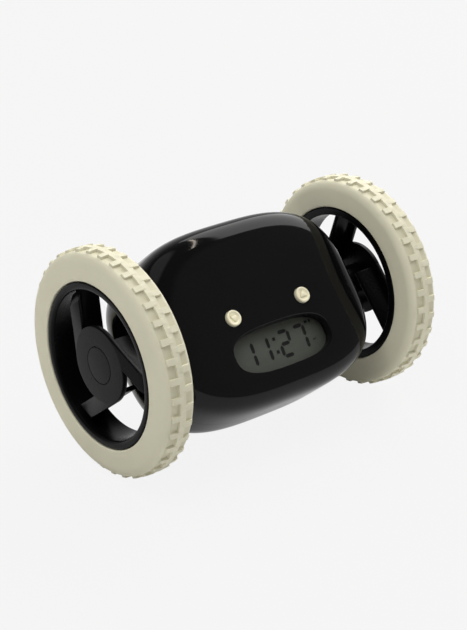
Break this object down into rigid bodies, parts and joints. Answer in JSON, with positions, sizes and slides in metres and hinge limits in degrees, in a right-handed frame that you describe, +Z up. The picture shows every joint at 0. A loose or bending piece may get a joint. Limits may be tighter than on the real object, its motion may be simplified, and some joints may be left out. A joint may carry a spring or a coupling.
{
  "type": "rolling alarm clock",
  "caption": "Barrel-shaped digital alarm clock slung between two large motor-driven wheels, with two round face buttons above a recessed display.",
  "frame": {"origin": "on the floor plane, below the middle of the axle line", "axes": "+X along the axle to the right as seen by the reader of the face, +Z up, face towards -Y"},
  "size_m": [0.1362, 0.089, 0.089],
  "materials": {
    "gloss_black": "polished black moulded plastic",
    "rim_black": "satin black moulded plastic",
    "tyre_cream": "matt cream moulded rubber",
    "button_cream": "satin cream moulded plastic",
    "clear_window": "clear polished window",
    "display_grey": "grey-green liquid crystal display glass with dark digits",
    "inner_black": "plain black moulded plastic",
    "board_green": "green solder mask",
    "steel": "plain plated steel",
    "motor_can": "plain drawn metal can",
    "brass": "machined brass",
    "gear_white": "natural white gear plastic",
    "cell_wrap": "plain coloured cell wrap"
  },
  "bodies": {
    "housing": {"front_shell": "gloss_black", "rear_shell": "gloss_black", "display_window": "clear_window", "display_glass": "display_grey", "display_frame": "inner_black", "left_eye_switch": "inner_black", "right_eye_switch": "inner_black", "main_board": "board_green", "clock_chip": "inner_black", "buzzer": "inner_black", "control_board": "board_green", "battery_tray": "inner_black", "battery_cell_1": "cell_wrap", "battery_cell_2": "cell_wrap", "battery_cell_3": "cell_wrap", "battery_cell_4": "cell_wrap", "battery_contact_left": "steel", "battery_contact_right": "steel", "battery_spring_1": "steel", "battery_spring_2": "steel", "battery_spring_3": "steel", "battery_spring_4": "steel", "case_screw_1": "steel", "case_screw_2": "steel", "case_screw_3": "steel", "case_screw_4": "steel", "left_motor": "motor_can", "right_motor": "motor_can", "left_gear_frame": "inner_black", "right_gear_frame": "inner_black", "left_idler_pin": "steel", "right_idler_pin": "steel", "left_axle_bush": "brass", "right_axle_bush": "brass"},
    "left_wheel": {"left_rim": "rim_black", "left_tyre": "tyre_cream", "left_hub_cap": "rim_black", "left_axle_screw": "steel", "left_axle": "steel", "left_axle_gear": "gear_white"},
    "left_idler": {"left_idler_gear": "gear_white"},
    "left_motor_shaft": {"left_motor_pinion": "brass"},
    "right_wheel": {"right_rim": "rim_black", "right_tyre": "tyre_cream", "right_hub_cap": "rim_black", "right_axle_screw": "steel", "right_axle": "steel", "right_axle_gear": "gear_white"},
    "right_idler": {"right_idler_gear": "gear_white"},
    "right_motor_shaft": {"right_motor_pinion": "brass"},
    "left_eye_button": {"left_eye_button": "button_cream"},
    "right_eye_button": {"right_eye_button": "button_cream"},
    "set_button": {"set_button": "button_cream"},
    "alarm_button": {"alarm_button": "button_cream"},
    "mode_switch": {"mode_switch": "button_cream"},
    "battery_door": {"battery_door": "gloss_black", "battery_door_screw": "steel"}
  },
  "joints": [
    {"name": "left_wheel_spin", "type": "hinge", "parent": "housing", "child": "left_wheel", "pos_m": [-0.06135, 0, 0.0445], "axis": [1, 0, 0], "continuous": true},
    {"name": "left_idler_spin", "type": "hinge", "parent": "housing", "child": "left_idler", "pos_m": [-0.0334, -0.0063, 0.03699], "axis": [1, 0, 0], "continuous": true},
    {"name": "left_motor_spin", "type": "hinge", "parent": "housing", "child": "left_motor_shaft", "pos_m": [-0.0324, -0.0126, 0.02949], "axis": [1, 0, 0], "continuous": true},
    {"name": "right_wheel_spin", "type": "hinge", "parent": "housing", "child": "right_wheel", "pos_m": [0.06135, 0, 0.0445], "axis": [1, 0, 0], "continuous": true},
    {"name": "right_idler_spin", "type": "hinge", "parent": "housing", "child": "right_idler", "pos_m": [0.0334, -0.0063, 0.03699], "axis": [1, 0, 0], "continuous": true},
    {"name": "right_motor_spin", "type": "hinge", "parent": "housing", "child": "right_motor_shaft", "pos_m": [0.0324, -0.0126, 0.02949], "axis": [1, 0, 0], "continuous": true},
    {"name": "left_eye_press", "type": "slide", "parent": "housing", "child": "left_eye_button", "axis": [0, 0.766, -0.6428], "range_m": [0, 0.0008], "stiffness_N_per_m": 60},
    {"name": "right_eye_press", "type": "slide", "parent": "housing", "child": "right_eye_button", "axis": [0, 0.766, -0.6428], "range_m": [0, 0.0008], "stiffness_N_per_m": 60},
    {"name": "set_button_press", "type": "slide", "parent": "housing", "child": "set_button", "axis": [0, -1, 0], "range_m": [0, 0.0008], "stiffness_N_per_m": 60},
    {"name": "alarm_button_press", "type": "slide", "parent": "housing", "child": "alarm_button", "axis": [0, -1, 0], "range_m": [0, 0.0008], "stiffness_N_per_m": 60},
    {"name": "mode_switch_slide", "type": "slide", "parent": "housing", "child": "mode_switch", "axis": [1, 0, 0], "range_m": [-0.0025, 0.0025]},
    {"name": "battery_door_lift", "type": "slide", "parent": "housing", "child": "battery_door", "axis": [0, 0.766, -0.6428], "range_m": [0, 0.007]}
  ],
  "couplings": [
    {"joint": "left_idler_spin", "follows": "left_wheel_spin", "ratio": -2.5},
    {"joint": "left_motor_spin", "follows": "left_wheel_spin", "ratio": 6.25},
    {"joint": "right_idler_spin", "follows": "right_wheel_spin", "ratio": -2.5},
    {"joint": "right_motor_spin", "follows": "right_wheel_spin", "ratio": 6.25}
  ]
}
